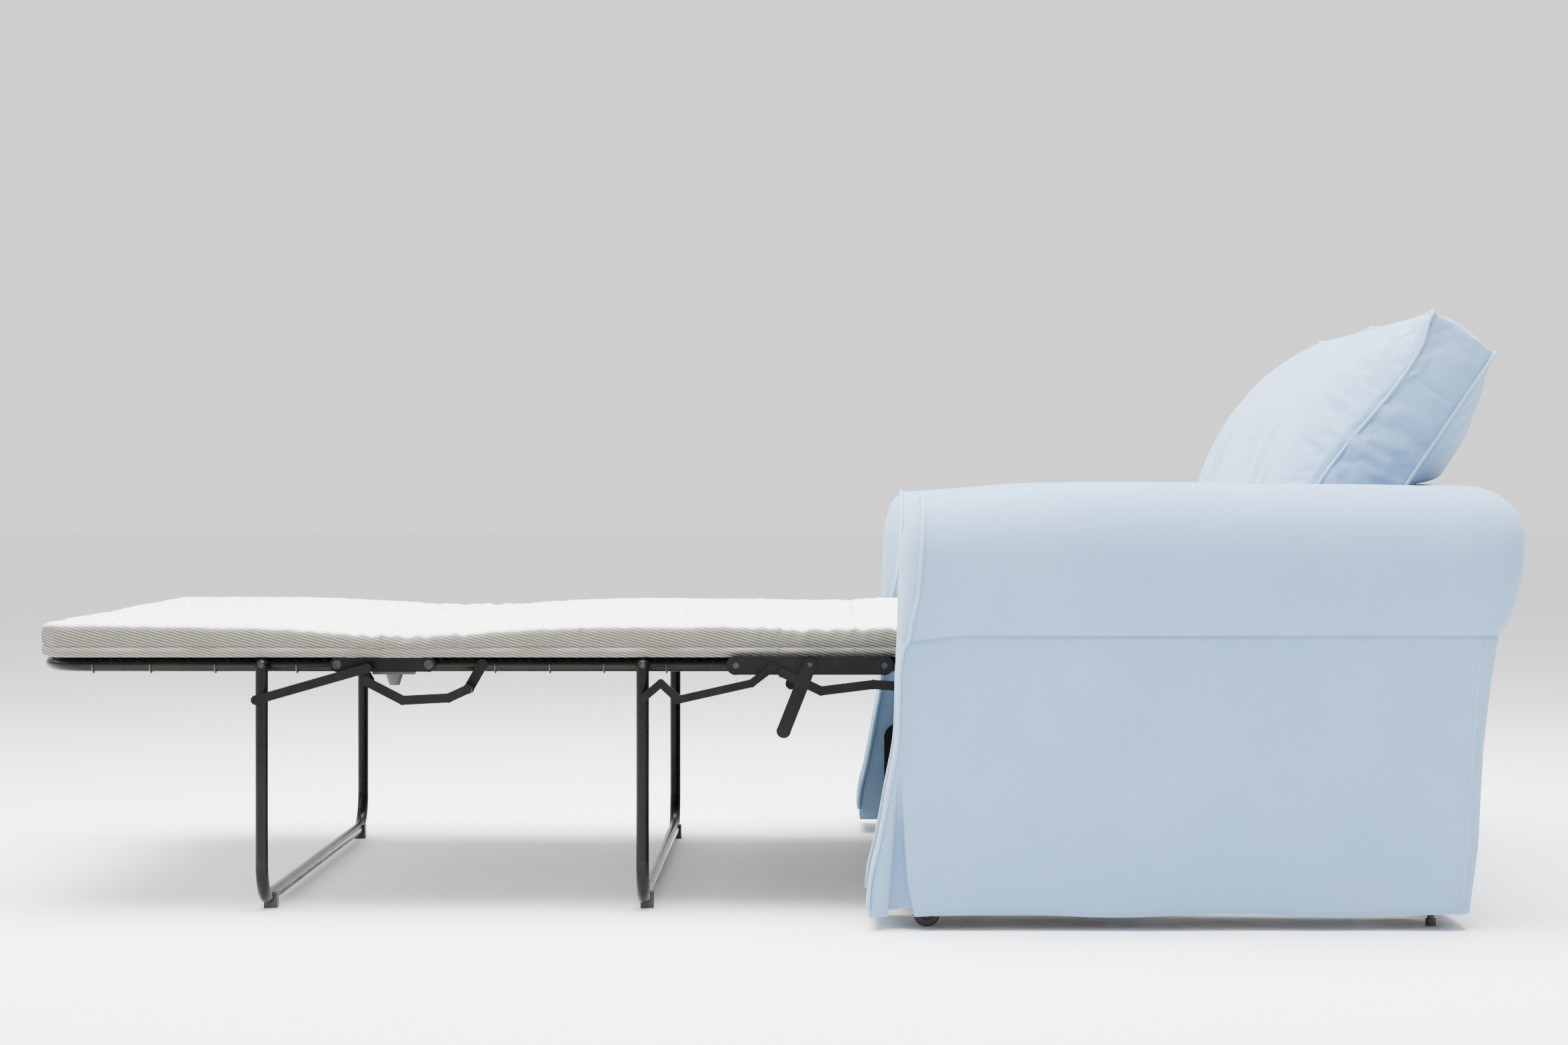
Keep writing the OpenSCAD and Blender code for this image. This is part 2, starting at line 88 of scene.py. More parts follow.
class Nodes:
    """A short way to build a node tree: each call adds a node and sets its inputs."""

    def __init__(self, name):
        self.material = bpy.data.materials.new(name)
        self.material.use_nodes = True
        self.tree = self.material.node_tree
        self.shader = self.tree.nodes["Principled BSDF"]
        self.place = self.add("ShaderNodeTexCoord").outputs["Object"]

    def add(self, kind, inputs=None, **settings):
        made = self.tree.nodes.new(kind)
        for key, value in settings.items():
            setattr(made, key, value)
        for key, value in (inputs or {}).items():
            self.set(made.inputs[key], value)
        return made

    def set(self, socket, value):
        if isinstance(value, bpy.types.NodeSocket):
            self.tree.links.new(value, socket)
        else:
            socket.default_value = value

    def stretch(self, scale, turn=(0, 0, 0)):
        inputs = {"Vector": self.place, "Scale": scale, "Rotation": turn}
        return self.add("ShaderNodeMapping", inputs).outputs[0]

    def noise(self, scale, detail=3.0, rough=0.5, where=None):
        inputs = {"Vector": where or self.place, "Scale": scale, "Detail": detail, "Roughness": rough}
        return self.add("ShaderNodeTexNoise", inputs).outputs["Fac"]

    def wave(self, scale, where, distort=0.0, direction="X", detail=1.0):
        inputs = {"Vector": where, "Scale": scale, "Distortion": distort, "Detail": detail}
        inputs["Detail Scale"] = 2.0
        return self.add("ShaderNodeTexWave", inputs, bands_direction=direction).outputs["Fac"]

    def math(self, operation, a, b=0.0):
        made = self.add("ShaderNodeMath", operation=operation)
        self.set(made.inputs[0], a)
        self.set(made.inputs[1], b)
        return made.outputs[0]

    def ramp(self, value, stops):
        made = self.add("ShaderNodeValToRGB", {"Fac": value})
        band = made.color_ramp
        while len(band.elements) < len(stops):
            band.elements.new(0.5)
        for element, (at, color) in zip(band.elements, stops):
            element.position = at
            element.color = (*color, 1)
        return made.outputs["Color"]

    def range(self, value, low, high):
        return self.add("ShaderNodeMapRange", {"Value": value, "To Min": low, "To Max": high}).outputs[0]

    def mix(self, share, a, b, blend="MIX"):
        made = self.add("ShaderNodeMix", data_type="RGBA", blend_type=blend)
        self.set(made.inputs[0], share)
        self.set(made.inputs[6], a)
        self.set(made.inputs[7], b)
        return made.outputs[2]

    def bump(self, height, strength, distance, normal=None):
        inputs = {"Height": height, "Strength": strength, "Distance": distance}
        if normal is not None:
            inputs["Normal"] = normal
        return self.add("ShaderNodeBump", inputs).outputs[0]

    def out(self, **inputs):
        for key, value in inputs.items():
            self.set(self.shader.inputs[key.replace("_", " ")], value)
        return self.material


def slipcover_material():
    """Light blue cotton with a fine twill weave, faint slubs and a soft mottling."""
    n = Nodes("slipcover")
    weft = n.wave(520, n.place, direction="Z")
    warp = n.wave(520, n.stretch((1, 1, 1), (0, 0, 0.785)), direction="X")
    weave = n.math("MULTIPLY", weft, warp)
    slub = n.noise(60, 4, 0.6, n.stretch((1, 1, 14)))
    mottle = n.noise(5.5, 5, 0.6)
    base = n.ramp(mottle, [(0.3, (0.178, 0.285, 0.430)), (0.7, (0.202, 0.312, 0.458))])
    thread = n.ramp(weave, [(0.0, (0.84, 0.88, 0.92)), (0.6, (1.0, 1.0, 1.0))])
    color = n.mix(1.0, base, thread, "MULTIPLY")
    color = n.mix(n.range(slub, 0.0, 0.14), color, (0.155, 0.255, 0.405, 1))
    soft = n.bump(n.noise(26, 3, 0.5), 0.10, 0.004)
    normal = n.bump(weave, 0.25, 0.0006, soft)
    return n.out(Base_Color=color, Roughness=n.range(slub, 0.82, 0.95), Normal=normal,
                 Sheen_Weight=0.18, Sheen_Roughness=0.5, Specular_IOR_Level=0.25)


def piping_material():
    """The slipcover's cloth over a cord, its threads on the slant."""
    n = Nodes("piping")
    twist = n.wave(260, n.stretch((1, 1, 1), (0.6, 0.5, 0.4)), direction="DIAGONAL")
    color = n.ramp(twist, [(0.0, (0.195, 0.305, 0.445)), (0.7, (0.25, 0.365, 0.51))])
    normal = n.bump(twist, 0.3, 0.0006)
    return n.out(Base_Color=color, Roughness=n.range(n.noise(40), 0.84, 0.95), Normal=normal,
                 Sheen_Weight=0.15, Specular_IOR_Level=0.25)


def ticking_material():
    """Mattress ticking: slanting cords of off-white and beige, painted paler over the top as light from above and
    darker down the sides as painted shade.
    """
    n = Nodes("ticking")
    slant = n.wave(68, n.stretch((1, 1, 1), (0.28, 0, 0)), 0.5, "Z")
    cross = n.wave(200, n.place, 0.3, "Y")
    pattern = n.math("MULTIPLY", slant, n.range(cross, 0.70, 1.0))
    # Painted light: share of the pale top colour, taken from how far the surface faces up
    lit_top_share = n.add("ShaderNodeAttribute", attribute_name="lit_top_share").outputs["Fac"]
    stain = n.noise(7, 4, 0.6)
    # Painted shade: the side colours are darkened as for faces turned away from the light above
    side = n.ramp(pattern, [(0.12, (0.050, 0.047, 0.036)), (0.80, (0.215, 0.206, 0.172))])
    side = n.mix(n.range(stain, 0.0, 0.35), side, (0.110, 0.105, 0.086, 1))
    # Painted light: the top colours are lightened as for faces lit from above
    weave = n.ramp(pattern, [(0.15, (0.66, 0.655, 0.635)), (0.75, (0.80, 0.795, 0.78))])
    creases = n.bump(n.noise(34, 4, 0.6), 0.12, 0.003)
    strength = n.math("SUBTRACT", 0.35, n.math("MULTIPLY", lit_top_share, 0.25))
    normal = n.bump(pattern, strength, 0.0008, creases)
    color = n.mix(lit_top_share, side, weave)
    return n.out(Base_Color=color, Roughness=n.range(stain, 0.85, 0.97), Normal=normal,
                 Sheen_Weight=0.1, Specular_IOR_Level=0.2)


def steel_material():
    """Semi-gloss black powder coat, with a fine orange peel, dust and thinner colour in places."""
    n = Nodes("black_steel")
    dust = n.noise(18, 5, 0.65)
    peel = n.noise(500, 2, 0.5)
    color = n.ramp(dust, [(0.35, (0.0022, 0.0021, 0.0018)), (0.75, (0.0050, 0.0048, 0.0042))])
    normal = n.bump(peel, 0.03, 0.0001)
    return n.out(Base_Color=color, Roughness=n.range(dust, 0.20, 0.34), Normal=normal,
                 Specular_IOR_Level=0.13)


def rivet_material():
    """Blackened rivets and pins, rubbed brighter in patches."""
    n = Nodes("rivet_steel")
    rub = n.noise(140, 4, 0.6)
    color = n.ramp(rub, [(0.45, (0.006, 0.006, 0.0055)), (0.8, (0.035, 0.035, 0.033))])
    normal = n.bump(rub, 0.1, 0.0003)
    return n.out(Base_Color=color, Roughness=n.range(rub, 0.22, 0.4), Metallic=0.3, Normal=normal)


def clip_material():
    """Dull dark wire hooks."""
    n = Nodes("hook_wire")
    rub = n.noise(200, 4, 0.6)
    color = n.ramp(rub, [(0.3, (0.012, 0.012, 0.011)), (0.75, (0.06, 0.058, 0.054))])
    normal = n.bump(rub, 0.1, 0.0003)
    return n.out(Base_Color=color, Roughness=n.range(rub, 0.35, 0.55), Metallic=0.6, Normal=normal)


def plastic_material():
    """Matt black moulded plastic with a fine texture and scuffs."""
    n = Nodes("black_plastic")
    grain = n.noise(700, 2, 0.5)
    scuff = n.noise(30, 5, 0.7)
    color = n.ramp(scuff, [(0.4, (0.016, 0.016, 0.015)), (0.8, (0.040, 0.040, 0.038))])
    return n.out(Base_Color=color, Roughness=n.range(scuff, 0.42, 0.62), Normal=n.bump(grain, 0.15, 0.0003))


def timber_material():
    """Sawn pine with long grain and darker growth bands."""
    n = Nodes("timber")
    grain = n.wave(7, n.stretch((6, 0.6, 6)), 3.0, "DIAGONAL", 3.0)
    fibre = n.noise(90, 4, 0.6, n.stretch((1, 0.08, 1)))
    color = n.ramp(grain, [(0.1, (0.60, 0.44, 0.26)), (0.9, (0.76, 0.62, 0.42))])
    color = n.mix(n.range(fibre, 0.0, 0.35), color, (0.50, 0.35, 0.20, 1))
    return n.out(Base_Color=color, Roughness=n.range(fibre, 0.6, 0.8), Normal=n.bump(fibre, 0.25, 0.001))


def deck_material():
    """Woven polypropylene bed deck."""
    n = Nodes("deck_cloth")
    weft = n.wave(160, n.place, 0.2, "X")
    warp = n.wave(160, n.place, 0.2, "Y")
    weave = n.math("MULTIPLY", weft, warp)
    color = n.ramp(weave, [(0.1, (0.50, 0.49, 0.45)), (0.8, (0.74, 0.73, 0.69))])
    return n.out(Base_Color=color, Roughness=n.range(weave, 0.6, 0.8), Normal=n.bump(weave, 0.4, 0.0008))


def webbing_material():
    """Dark elastic webbing with ribs along it."""
    n = Nodes("webbing")
    rib = n.wave(140, n.place, 0.2, "Z")
    color = n.ramp(rib, [(0.1, (0.16, 0.14, 0.12)), (0.8, (0.34, 0.31, 0.27))])
    return n.out(Base_Color=color, Roughness=n.range(rib, 0.8, 0.95), Normal=n.bump(rib, 0.4, 0.001))


def floor_material():
    """Pale matt studio floor."""
    n = Nodes("floor")
    color = n.ramp(n.noise(2.0), [(0.3, (0.90, 0.90, 0.90)), (0.7, (0.92, 0.92, 0.92))])
    return n.out(Base_Color=color, Roughness=n.range(n.noise(4.0), 0.55, 0.65))


SLIPCOVER = slipcover_material()
PIPING = piping_material()
TICKING = ticking_material()
BY_SLOT = {"slipcover": SLIPCOVER, "ticking": TICKING, "deck_cloth": deck_material(),
           "webbing": webbing_material(), "timber": timber_material(), "black_steel": steel_material(),
           "rivet_steel": rivet_material(), "black_plastic": plastic_material()}
HOOK_WIRE = clip_material()


def paint_cad_nodes():
    for part in frame["record"]["subparts"]:
        cad = frame["nodes"][part["node"]]
        material = HOOK_WIRE if part["node"].endswith("hooks") else BY_SLOT[part["material_slot"]]
        cad.data.materials.clear()
        cad.data.materials.append(material)


# ---------------------------------------------------------------- mesh helpers

def mesh_object(name, verts, faces, material, smooth=True):
    mesh = bpy.data.meshes.new(name)
    mesh.from_pydata([tuple(v) for v in verts], [], faces)
    mesh.validate()
    made = bpy.data.objects.new(name, mesh)
    bpy.context.scene.collection.objects.link(made)
    mesh.materials.append(material)
    if smooth:
        mesh.polygons.foreach_set("use_smooth", [True] * len(mesh.polygons))
    return made


def apply_modifiers(piece):
    bpy.context.view_layer.update()
    done = bpy.data.meshes.new_from_object(piece.evaluated_get(bpy.context.evaluated_depsgraph_get()))
    piece.modifiers.clear()
    piece.data = done


def subdivide(piece):
    mod = piece.modifiers.new("sub", "SUBSURF")
    mod.levels = mod.render_levels = 1
    apply_modifiers(piece)


def cord_tube(name, path, radius, material, closed=False):
    """A round tube swept along a smooth path, as a mesh."""
    sides = 8
    count = len(path)
    verts, faces = [], []
    up = None
    for i, here in enumerate(path):
        after = path[(i + 1) % count] if closed or i < count - 1 else here
        before = path[i - 1] if closed or i > 0 else here
        along = (after - before).normalized()
        if up is None:
            up = along.orthogonal()
        up = (up - along * up.dot(along)).normalized()
        side = along.cross(up)
        for k in range(sides):
            turn = 2 * math.pi * k / sides
            verts.append(here + (up * math.cos(turn) + side * math.sin(turn)) * radius)
    rings = count if closed else count - 1
    for i in range(rings):
        a, b = i * sides, ((i + 1) % count) * sides
        for k in range(sides):
            faces.append((a + k, a + (k + 1) % sides, b + (k + 1) % sides, b + k))
    if not closed:
        faces.append(tuple(reversed(range(sides))))
        faces.append(tuple(range((count - 1) * sides, count * sides)))
    return mesh_object(name, verts, faces, material)


def resample(points, step):
    """Points at least a step apart along a Catmull-Rom curve through the given ones."""
    points = [Vector(p) for p in points]
    last = len(points) - 1
    fine = 12
    dense = []
    for i in range(last):
        p0, p1, p2, p3 = (points[min(max(i + k, 0), last)] for k in (-1, 0, 1, 2))
        for j in range(fine):
            t = j / fine
            bend_in = (2 * p0 - 5 * p1 + 4 * p2 - p3) * t * t
            bend_out = (3 * p1 - p0 - 3 * p2 + p3) * t ** 3
            dense.append(0.5 * ((2 * p1) + (p2 - p0) * t + bend_in + bend_out))
    dense.append(points[-1])
    kept = [dense[0]]
    for p in dense[1:]:
        if (p - kept[-1]).length >= step:
            kept.append(p)
    kept[-1] = dense[-1]
    return kept


def lump(p, scale, amount, seed=0.0):
    """Smooth pseudo-random offset at a place, from -amount to amount."""
    place = Vector((p[0] * scale + seed, p[1] * scale - seed, p[2] * scale + 2 * seed))
    return amount * noise.noise(place)


def smooth_step(value, low, high):
    """From 0 at low to 1 at high, easing in and out; low may be the greater of the two."""
    t = min(max((value - low) / (high - low), 0.0), 1.0)
    return t * t * (3 - 2 * t)


def bell(value, centre, width):
    """1 at the centre, fading to nothing a few widths away."""
    return math.exp(-((value - centre) / width) ** 2)


def ring_surface(name, rings, material):
    """A skin through closed rings of points, all with the same number of points."""
    width = len(rings[0])
    verts = [p for ring in rings for p in ring]
    faces = []
    for i in range(len(rings) - 1):
        for j in range(width):
            a, b = i * width + j, i * width + (j + 1) % width
            faces.append((a, b, b + width, a + width))
    return mesh_object(name, verts, faces, material)


# ---------------------------------------------------------------- mattress

# Points across the mattress's top, and the distance between its rings
TOP_POINTS = 120
RING_STEP = 0.0062
# Depth over which an end of the mattress rounds off
END_DEPTH = 0.029
# Where the ticking gathers: place along the bed and reach
GATHERS = [(0.5 * (FOOT_PIVOT + OUTER_PIVOT) + 0.07, 0.15), (HEAD_PIVOT - 0.09, 0.14)]


def gathered(y):
    """How strongly the ticking is gathered at a place along the bed, from 0 to 1."""
    return min(1.0, 0.10 + sum(bell(y, place, reach) for place, reach in GATHERS))


def gather_wave(y, seed):
    """Uneven upright folds along the mattress's side."""
    phase = 2 * math.pi * y / 0.031 + 3.2 * noise.noise(Vector((y * 10, seed, 0)))
    return math.sin(phase) * (0.55 + 0.9 * noise.noise(Vector((y * 24, seed, 5))))


def ridge(x, y, angle, spacing, seed):
    """Narrow creases in one direction, from 0 to 1."""
    across = x * math.cos(angle) + y * math.sin(angle)
    along = y * math.cos(angle) - x * math.sin(angle)
    value = noise.noise(Vector((across / spacing, along / (4.5 * spacing), seed)))
    return max(0.0, 1 - 3.4 * abs(value)) ** 2


def mattress_top_height(x, y):
    """Height of the mattress above its underside: swells, a dip at its outer fold and creases."""
    height = MATTRESS_T - 0.0015
    height -= 0.013 * bell(y, 0.5 * (FOOT_PIVOT + OUTER_PIVOT) + 0.03, 0.19)
    height -= 0.0035 * bell(y, 0.5 * (INNER_PIVOT + HEAD_PIVOT) + 0.03, 0.11)
    height -= 0.0035 * (0.5 + lump((x, y, 0), 2.0, 1.0, 3.0)) + lump((x, y, 0), 5.5, 0.0016, 9.0)
    pull = gathered(y)
    creases = 0.0070 * ridge(x, y, 1.15, 0.055, 1.0) + 0.0060 * ridge(x, y, 0.35, 0.085, 6.0)
    creases += 0.0042 * ridge(x, y, 1.75, 0.036, 11.0)
    side = smooth_step(abs(x) / MATTRESS_HALF, 0.90, 0.995)
    height -= creases * (0.30 + 0.70 * pull) * (1 - 0.65 * side)
    height -= 0.0050 * side * pull * (0.5 + 0.5 * gather_wave(y, 1.0 if x > 0 else 7.0))
    return height


def mattress_ring(y):
    """Outline of the mattress at one place along its length, from its right underside round."""
    half = MATTRESS_HALF - 0.004 + lump((0, y, 4.0), 5.0, 0.002, 1.0)
    near_tip = smooth_step(y, MATTRESS_LOW.y, MATTRESS_LOW.y + 0.05)
    half -= 0.026 * (1 - near_tip) ** 2
    halves = []
    for side in (1, -1):
        fold = 0.0042 * gathered(y) * gather_wave(y, 1.0 if side > 0 else 7.0)
        h = mattress_top_height(side * half, y)
        dip = 0.0016 * lump((side, y, 2.0), 14.0, 1.0)
        lower = [(0.012, 0.0), (0.004, 0.0015), (0.0008, 0.008), (0.0003, 0.0165)]
        seam = [(0.0026, 0.0185 + dip), (0.0003, 0.0205 + dip)]
        upper = [(-0.0012, 0.40 * h), (-0.0012, 0.62 * h), (0.0, h - 0.013), (0.0012, h - 0.007)]
        rim = [(0.0040, h - 0.0028), (0.0085, h - 0.0006), (0.018, h)]
        ring = []
        for inset, z in lower + seam + upper + rim:
            share = smooth_step(z, 0.018, 0.7 * h) if z > 0.02 else 0.15
            ring.append((side * (half - inset + fold * share), z))
        halves.append(ring)
    right, left = halves
    top = []
    for i in range(1, TOP_POINTS):
        x = (half - 0.018) * (1 - 2 * i / TOP_POINTS)
        top.append((x, mattress_top_height(x, y)))
    bottom = [(-(half - 0.012) + 2 * (half - 0.012) * i / 10, 0.0) for i in range(1, 10)]
    outline = right + top + list(reversed(left)) + bottom
    return [Vector((x, y, MATTRESS_LOW.z + z)) for x, z in outline]


def mattress_end_rings(y_end, inward):
    """Rings that close an end of the mattress with rounded edges and its seam drawn in."""
    rings = []
    middle = MATTRESS_LOW.z + 0.45 * MATTRESS_T
    steps = [(0.0, 0.50), (0.0012, 0.76), (0.004, 0.89), (0.009, 0.965), (0.018, 0.993), (0.028, 1.0)]
    for depth, shrink in steps:
        closed = []
        for p in mattress_ring(y_end + inward * depth):
            height = p.z - MATTRESS_LOW.z
            ripple = 0.0012 * (1 + noise.noise(Vector((p.x * 30, height * 40, 3))))
            tuck = 0.0035 * bell(height, 0.0185, 0.006) + ripple
            y = p.y + inward * tuck * (1 - depth / 0.03)
            z = middle + (p.z - middle) * shrink
            closed.append(Vector((p.x * (0.985 + 0.015 * shrink), y, z)))
        rings.append(closed)
    return rings


def mattress_piece(name, y0, y1, stands_for, end_low=False, end_high=False):
    """A length of the mattress, closed at both ends, rounded off where it is the mattress's own end."""
    count = max(4, round((y1 - y0) / RING_STEP))
    low = y0 + (END_DEPTH if end_low else 0)
    high = y1 - (END_DEPTH if end_high else 0)
    rings = [mattress_ring(low + (high - low) * i / count) for i in range(count + 1)]
    if end_low:
        rings = mattress_end_rings(y0, 1) + rings
    if end_high:
        rings = rings + list(reversed(mattress_end_rings(y1, -1)))
    piece = ring_surface(name, rings, TICKING)
    mesh = bmesh.new()
    mesh.from_mesh(piece.data)
    mesh.verts.ensure_lookup_table()
    width = len(rings[0])
    for first, flip in ((0, False), (len(rings) * width - width, True)):
        loop = [mesh.verts[first + k] for k in range(width)]
        cap = mesh.faces.new(loop if flip else list(reversed(loop)))
        for edge in cap.edges:
            edge.smooth = False
    bmesh.ops.recalc_face_normals(mesh, faces=mesh.faces)
    mesh.to_mesh(piece.data)
    mesh.free()
    for face in piece.data.polygons:
        face.use_smooth = len(face.vertices) == 4
    # Painted light: how much of the lit top colour each point takes, from how far its normal faces up
    lit_top = piece.data.attributes.new("lit_top_share", "FLOAT", "POINT")
    for i, vertex in enumerate(piece.data.vertices):
        lit_top.data[i].value = smooth_step(vertex.normal.z, 0.25, 0.85)
    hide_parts(stands_for)
    return piece


def bend(piece):
    """Bakes a mattress piece's placement into its mesh."""
    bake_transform(piece)


def mattress():
    wide, narrow = 0.075, 0.050
    cut_outer = 0.5 * (FOOT_PIVOT + OUTER_PIVOT)
    cut_middle = 0.5 * (OUTER_PIVOT + INNER_PIVOT)
    span_low = INNER_PIVOT + wide
    span_high = HEAD_PIVOT - narrow

    piece = mattress_piece("mattress_foot_end", MATTRESS_LOW.y, cut_outer, "mattress_foot", end_low=True)
    bend(piece)
    piece = mattress_piece("mattress_outer_bend", cut_outer, cut_middle, "mattress_outer_fold")
    bend(piece)
    piece = mattress_piece("mattress_inner_bend", cut_middle, span_low, "mattress_middle")
    bend(piece)
    # The folded foot section presses this stretch flat
    piece = mattress_piece("mattress_inner_span", span_low, span_high, "mattress_inner_fold")
    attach(piece, "inner_hinge")
    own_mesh(piece)
    piece = mattress_piece("mattress_head_end", span_high, MATTRESS_HIGH.y, "mattress_head", end_high=True)
    bend(piece)


# ---------------------------------------------------------------- back cushions

CUSHION_LEAN = math.radians(33.8)
CUSHION_UP = Vector((0, math.sin(CUSHION_LEAN), math.cos(CUSHION_LEAN)))
CUSHION_OUT = Vector((0, -math.cos(CUSHION_LEAN), math.sin(CUSHION_LEAN)))
CUSHION_T = 0.125
CUSHION_H = 0.505
# How far the middle of each edge is drawn in between the corners
EDGE_PULL = 0.012
# Size of the cloth's mesh, how near a seam it is held, its simulation's length and its furthest move
CLOTH_VOXEL = 0.0065
HELD_REACH = 0.011
CLOTH_FRAMES = 20
CLOTH_REACH = 0.030
# How far the front may stand out from its seams, and the piping's radius
FRONT_REACH = 0.092
PIPING_R = 0.0034


def cushion_place(foot, x, h, t):
    """A place on a cushion from how far across, up its face and out from its rear it is."""
    return Vector((foot.x + x, foot.y, foot.z)) + CUSHION_UP * h + CUSHION_OUT * t


def seam_bow(x, h, half_w):
    """How far the front seam of a cushion's side is drawn back between its corners."""
    at_side = smooth_step(abs(x) / half_w, 0.90, 0.95)
    return 0.019 * at_side * bell(h, 0.39, 0.13) * smooth_step(CUSHION_H - h, 0.0, 0.06)


def boxed_outline(half_w):
    """Edge of a cushion's face, its sides drawn in a little between pointed corners."""
    steps = 44
    corners = [(-1, -1), (1, -1), (1, 1), (-1, 1)]
    points = []
    for (u0, v0), (u1, v1) in zip(corners, corners[1:] + corners[:1]):
        for i in range(steps):
            t = i / steps
            u, v = u0 + (u1 - u0) * t, v0 + (v1 - v0) * t
            inward = EDGE_PULL * (4 * t * (1 - t)) ** 0.8
            if u0 == u1:
                u -= u0 * inward / half_w
            else:
                v -= v0 * inward / (0.5 * CUSHION_H)
            points.append((u * half_w, 0.5 * CUSHION_H * (1 + v)))
    return points


def cushion_start(half_w):
    """The slack cushion before it is filled: two faces and the boxing between them, centred across."""
    outline = boxed_outline(half_w)
    mesh = bmesh.new()
    rings = []
    middle = 0.5 * CUSHION_H
    for share in (0.16, 0.38, 0.6, 0.8, 1.0):
        rings.append([(x * share, middle + (h - middle) * share, 0.0) for x, h in outline])
    for k in range(1, 7):
        rings.append([(x, h, (CUSHION_T - seam_bow(x, h, half_w)) * k / 6) for x, h in outline])
    for share in (0.8, 0.6, 0.38, 0.16):
        ring = [(x * share, middle + (h - middle) * share) for x, h in outline]
        rings.append([(x, h, CUSHION_T) for x, h in ring])
    made = [[mesh.verts.new(p) for p in ring] for ring in rings]
    count = len(outline)
    for a, b in zip(made, made[1:]):
        for k in range(count):
            mesh.faces.new((a[k], a[(k + 1) % count], b[(k + 1) % count], b[k]))
    mesh.faces.new(made[0])
    mesh.faces.new(list(reversed(made[-1])))
    bmesh.ops.recalc_face_normals(mesh, faces=mesh.faces)
    data = bpy.data.meshes.new("cushion_start")
    mesh.to_mesh(data)
    mesh.free()
    piece = bpy.data.objects.new("cushion_start", data)
    bpy.context.scene.collection.objects.link(piece)
    return piece


def across_crown(x, half_w):
    """How full a cushion is across its width, from 0 at its sides to 1."""
    return max(0.0, 1 - (x / half_w) ** 2) ** 0.55


def front_crown(x, h, half_w):
    """How full the front is at a place, from 0 at its seam to 1, fullest below its middle."""
    v = 2 * h / CUSHION_H - 1
    return across_crown(x, half_w) * max(0.0, 1 - v * v) ** 0.62 * (1.03 - 0.36 * v)


def rear_crown(x, h, half_w):
    """How far the rear stands out above the sofa's back, from 0 to 1."""
    fade = max(0.0, 1 - (max(h - 0.35, 0.0) / 0.157) ** 2) ** 0.5
    return across_crown(x, half_w) * smooth_step(h, 0.20, 0.285) * fade


def fill_cushion(piece, half_w, seed):
    """Blows a remeshed cushion up as cloth, held at its two piped seams."""
    mod = piece.modifiers.new("remesh", "REMESH")
    mod.mode = "VOXEL"
    mod.voxel_size = CLOTH_VOXEL
    apply_modifiers(piece)
    outline = boxed_outline(half_w)
    seam = [Vector((x, h, 0.0)) for x, h in outline]
    seam += [Vector((x, h, CUSHION_T - seam_bow(x, h, half_w))) for x, h in outline]
    tree = kdtree.KDTree(len(seam))
    for i, p in enumerate(seam):
        tree.insert(p, i)
    tree.balance()
    held = piece.vertex_groups.new(name="held")
    for v in piece.data.vertices:
        x, h, t = v.co
        if tree.find(v.co)[2] < HELD_REACH:
            held.add([v.index], 1.0, "REPLACE")
        if t > 0.5 * CUSHION_T:
            v.co.z += 0.064 * front_crown(x, h, half_w)
        else:
            v.co.z -= 0.036 * rear_crown(x, h, half_w)
        boxing = max(0.0, 1 - (2 * t / CUSHION_T - 1) ** 2)
        boxing *= smooth_step(h, CUSHION_H - 0.030, CUSHION_H - 0.005)
        v.co.y += 0.010 * boxing * across_crown(x, half_w)
        v.co.z += 0.0015 * noise.noise(v.co * 14 + Vector((seed, 0, 0)))
    # The cloth starts from the crowned shape, and its creases come from the pressure
    start = [v.co.copy() for v in piece.data.vertices]
    cloth = piece.modifiers.new("cloth", "CLOTH")
    settings = cloth.settings
    settings.quality = 5
    settings.mass = 0.25
    settings.tension_stiffness = 30
    settings.compression_stiffness = 30
    settings.shear_stiffness = 12
    settings.bending_stiffness = 0.35
    settings.use_pressure = True
    settings.uniform_pressure_force = 4.5
    settings.shrink_min = -0.035
    settings.vertex_group_mass = "held"
    settings.effector_weights.gravity = 0
    cloth.point_cache.frame_start = 1
    cloth.point_cache.frame_end = CLOTH_FRAMES
    scene = bpy.context.scene
    for frame_number in range(1, CLOTH_FRAMES + 1):
        scene.frame_set(frame_number)
        bpy.context.view_layer.update()
    apply_modifiers(piece)
    scene.frame_set(1)
    for v, was in zip(piece.data.vertices, start):
        moved = v.co - was
        if moved.length > CLOTH_REACH:
            v.co = was + moved.normalized() * CLOTH_REACH


def rear_room(h):
    """How far a cushion's rear may bulge: hardly at all where it rests on the sofa's back."""
    above = 0.060 * smooth_step(h, 0.215, 0.30)
    below = 0.006 * smooth_step(0.15 - h, 0.0, 0.08)
    return 0.001 + above + below


